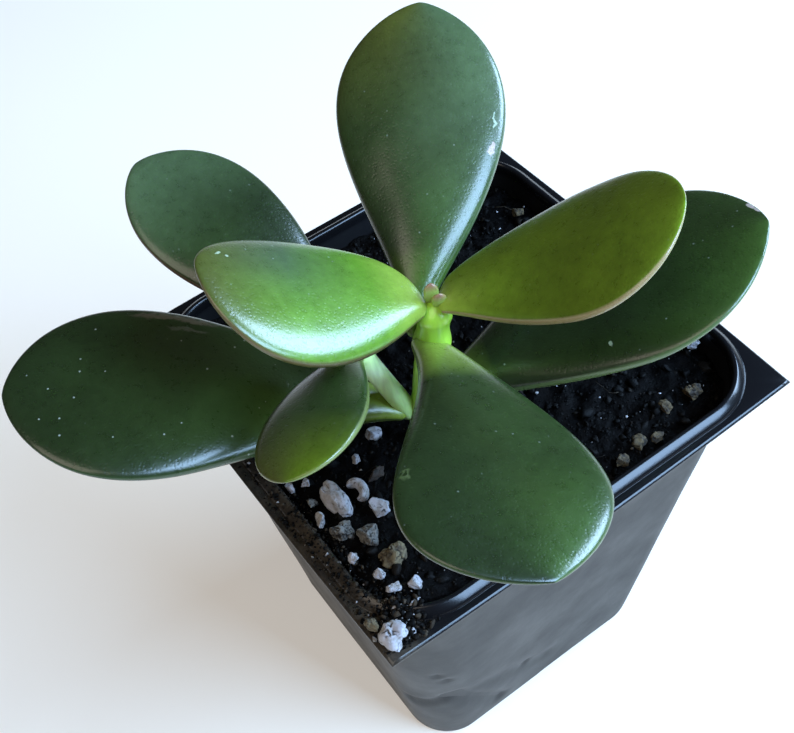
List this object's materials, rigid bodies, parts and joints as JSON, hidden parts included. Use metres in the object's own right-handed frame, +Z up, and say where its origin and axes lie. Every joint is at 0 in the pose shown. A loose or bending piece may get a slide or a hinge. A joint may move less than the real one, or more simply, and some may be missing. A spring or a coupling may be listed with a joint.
{
  "type": "potted jade plant",
  "caption": "Young jade plant with thick oval leaves in opposite pairs on a green stem, growing in dark soil with white perlite in a square black plastic nursery pot.",
  "frame": {"origin": "middle of the pot's underside", "axes": "+Z up, -Y towards the front side of the pot, +X to the right of someone facing the front side"},
  "size_m": [0.1014, 0.092, 0.1241],
  "materials": {
    "black_plastic": "satin black vacuum-formed sheet",
    "potting_soil": "moist dark peat",
    "stem_green": "smooth fleshy stem",
    "leaf_old": "waxy dark green leaf",
    "leaf_young": "waxy light green leaf",
    "leaf_bud": "yellow-green bud with reddish tips",
    "perlite": "rough white expanded mineral",
    "bark": "weathered bark chip"
  },
  "bodies": {
    "root": {"nursery_pot": "black_plastic", "potting_soil": "potting_soil", "main_stem": "stem_green", "side_shoot": "stem_green", "lower_left_leaf": "leaf_old", "lower_right_leaf": "leaf_old", "front_leaf": "leaf_old", "back_leaf": "leaf_old", "shoot_back_leaf": "leaf_old", "shoot_front_leaf": "leaf_old", "upper_left_leaf": "leaf_young", "upper_right_leaf": "leaf_young", "bud_leaf_back": "leaf_bud", "bud_leaf_front": "leaf_bud", "perlite_large": "perlite", "perlite_curved": "perlite", "perlite_round": "perlite", "perlite_grey_left": "perlite", "perlite_grey_right": "perlite", "perlite_brown": "perlite", "perlite_bank": "perlite", "perlite_sliver": "perlite", "perlite_edge_front": "perlite", "perlite_edge_left": "perlite", "perlite_left_a": "perlite", "perlite_left_b": "perlite", "perlite_left_c": "perlite", "perlite_stem_a": "perlite", "perlite_stem_b": "perlite", "perlite_front": "perlite", "perlite_right_corner": "perlite", "perlite_back": "perlite", "perlite_rim_large": "perlite", "perlite_rim_tan": "perlite", "grain_right_a": "bark", "grain_right_b": "bark", "grain_right_c": "bark", "grain_right_d": "bark", "grain_right_e": "bark", "bark_chip": "bark"}
  },
  "joints": []
}
